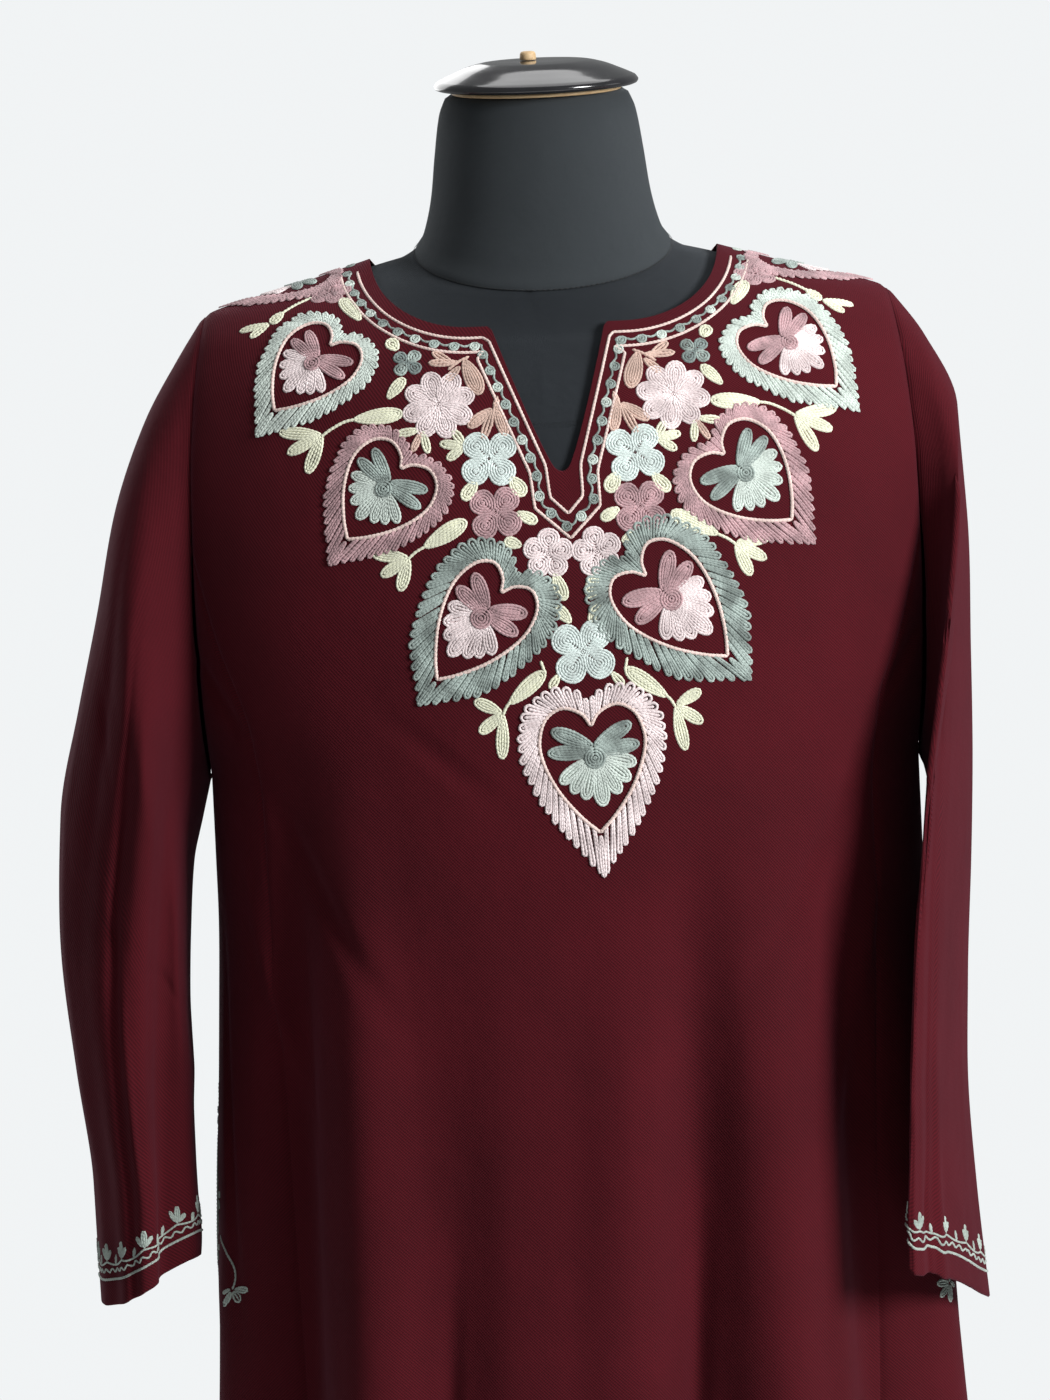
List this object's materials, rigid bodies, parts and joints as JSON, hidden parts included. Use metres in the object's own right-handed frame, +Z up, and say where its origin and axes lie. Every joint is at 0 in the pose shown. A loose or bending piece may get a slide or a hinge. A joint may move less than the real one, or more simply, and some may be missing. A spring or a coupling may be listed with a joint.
{
  "type": "pheran on a dress form",
  "caption": "Loose long-sleeved wool tunic with side gores, slit neck and seam pockets, embroidered round the neck, worn by a limbless dress form on a round stand",
  "frame": {"origin": "centre of the underside of the stand's base, on the floor", "axes": "+Z up, the front of the garment faces -Y, +X towards the wearer's left"},
  "size_m": [0.5332, 0.36, 1.4999],
  "materials": {
    "wool": "fine twill wool, maroon, with chain-stitch embroidery in pale pink, mauve, cream and grey green",
    "jersey": "dark charcoal stretch jersey",
    "neck_jersey": "dark charcoal stretch jersey, a little lighter",
    "disc_wood": "plain pale wood",
    "lacquer": "black gloss",
    "stub_wood": "plain pale wood",
    "stand_steel": "black satin paint"
  },
  "bodies": {
    "root": {"front": "wool", "back": "wool", "front_gore_left": "wool", "front_gore_right": "wool", "back_gore_left": "wool", "back_gore_right": "wool", "sleeve_left": "wool", "sleeve_right": "wool", "pocket_left": "wool", "pocket_right": "wool", "form_torso": "jersey", "form_neck": "neck_jersey", "form_cap_disc": "disc_wood", "form_cap": "lacquer", "form_cap_stub": "stub_wood", "stand_flange": "stand_steel", "stand_pole": "stand_steel", "stand_base": "stand_steel"}
  },
  "joints": []
}
